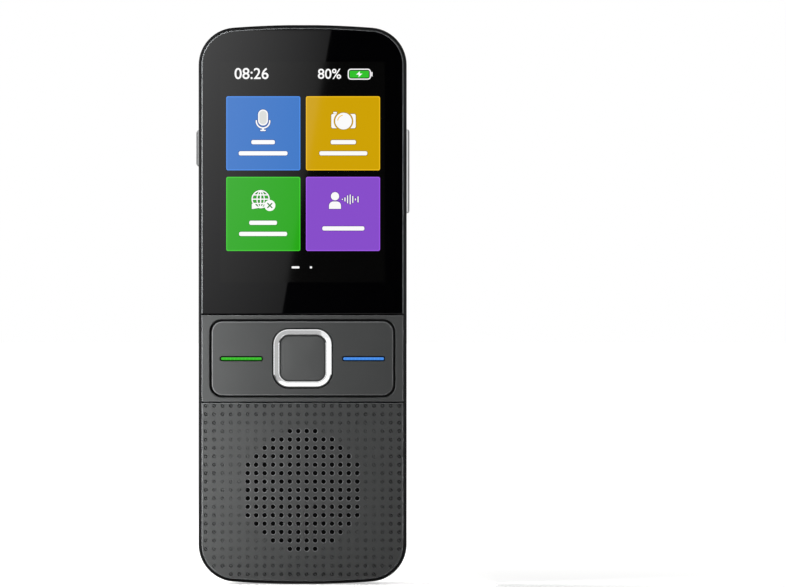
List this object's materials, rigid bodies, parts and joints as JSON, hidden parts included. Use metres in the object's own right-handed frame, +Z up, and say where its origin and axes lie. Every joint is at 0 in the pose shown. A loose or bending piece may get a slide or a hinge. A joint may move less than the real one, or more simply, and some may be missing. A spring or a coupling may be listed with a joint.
{
  "type": "handheld translator",
  "caption": "Slim bar-shaped voice translator with a touch screen, a rocking key plate round a square home key, a dotted speaker grille and a camera on its back.",
  "frame": {"origin": "under the middle of the bar, level with the lowest point of its bottom end, half way through the depth from the home ring to the camera disc", "axes": "+Z up the bar towards the camera end, +Y from the screen towards the back, +X to the right of the screen"},
  "size_m": [0.0508, 0.0138, 0.133],
  "materials": {
    "black_housing": "black moulded plastic with a satin sheen",
    "black_glass": "polished black cover glass",
    "charcoal_panel": "charcoal paint with a fine satin grain",
    "charcoal_cover": "charcoal soft-touch paint",
    "bright_metal": "bright plated ring with bevelled edges",
    "satin_metal": "satin silver with chamfered ends",
    "green_lens": "lit green light guide",
    "blue_lens": "lit blue light guide",
    "display": "display module",
    "amber_film": "polyimide flexible circuit",
    "silicone_rubber": "translucent grey silicone rubber",
    "board_resin": "green circuit board",
    "tin_plate": "tin-plated steel",
    "black_plastic": "black moulded plastic",
    "speaker_cloth": "black acoustic cloth",
    "foam": "black foam",
    "ferrite": "dark grey magnet",
    "battery_foil": "aluminium pouch with a dark sleeve",
    "gold_plate": "gold-plated contacts",
    "grey_chassis": "dark grey moulded plastic",
    "lens_grey": "grey anodised lens ring",
    "flash_yellow": "pale yellow lamp diffuser",
    "lamp_white": "lamp with a pale phosphor"
  },
  "bodies": {
    "handset": {"front_housing": "black_housing", "touch_glass": "black_glass", "key_surround": "charcoal_panel", "grille_panel": "charcoal_panel", "display_panel": "display", "display_flex": "amber_film", "home_ring": "bright_metal", "key_membrane": "silicone_rubber", "green_lamp": "lamp_white", "blue_lamp": "lamp_white", "left_key_switch": "tin_plate", "right_key_switch": "tin_plate", "home_switch": "tin_plate", "speaker_cloth": "speaker_cloth", "speaker_gasket": "foam", "speaker_basket": "black_plastic", "speaker_cone": "foam", "speaker_magnet": "ferrite", "main_board": "board_resin", "processor_shield": "tin_plate", "radio_shield": "tin_plate", "usb_port": "tin_plate", "microphone": "tin_plate", "microphone_boot": "silicone_rubber", "power_switch": "tin_plate", "volume_up_switch": "tin_plate", "volume_down_switch": "tin_plate", "battery_cell": "battery_foil", "battery_pad": "foam", "battery_contacts": "gold_plate", "rear_chassis": "grey_chassis", "chassis_screw_1": "tin_plate", "chassis_screw_2": "tin_plate", "chassis_screw_3": "tin_plate", "chassis_screw_4": "tin_plate", "chassis_screw_5": "tin_plate", "chassis_screw_6": "tin_plate", "wifi_antenna": "amber_film", "upper_cover": "charcoal_cover", "camera_disc": "charcoal_cover", "lens_ring": "lens_grey", "camera_lens": "black_glass", "camera_module": "black_plastic", "flash_diffuser": "flash_yellow", "flash_board": "board_resin", "flash_lamp": "lamp_white", "camera_flex": "amber_film"},
    "key_plate": {"key_plate": "charcoal_panel", "green_light_bar": "green_lens", "blue_light_bar": "blue_lens"},
    "home_button": {"home_button": "charcoal_panel"},
    "power_button": {"power_button": "satin_metal"},
    "volume_rocker": {"volume_rocker": "satin_metal"},
    "battery_cover": {"battery_cover": "charcoal_cover"}
  },
  "joints": [
    {"name": "key_plate_rock", "type": "hinge", "parent": "handset", "child": "key_plate", "pos_m": [0, -0.00465, 0.05373], "axis": [0, 0, 1], "range_deg": [-1, 1], "stiffness_Nm_per_rad": 0.3},
    {"name": "home_button_press", "type": "slide", "parent": "handset", "child": "home_button", "axis": [0, 1, 0], "range_m": [0, 0.0004], "stiffness_N_per_m": 300},
    {"name": "power_button_press", "type": "slide", "parent": "handset", "child": "power_button", "axis": [1, 0, 0], "range_m": [0, 0.00035], "stiffness_N_per_m": 300},
    {"name": "volume_rocker_rock", "type": "hinge", "parent": "handset", "child": "volume_rocker", "pos_m": [0.02245, -0.0012, 0.0983], "axis": [0, 1, 0], "range_deg": [-1.5, 1.5], "stiffness_Nm_per_rad": 0.1},
    {"name": "battery_cover_lift", "type": "slide", "parent": "handset", "child": "battery_cover", "axis": [0, 1, 0], "range_m": [0, 0.03]}
  ]
}
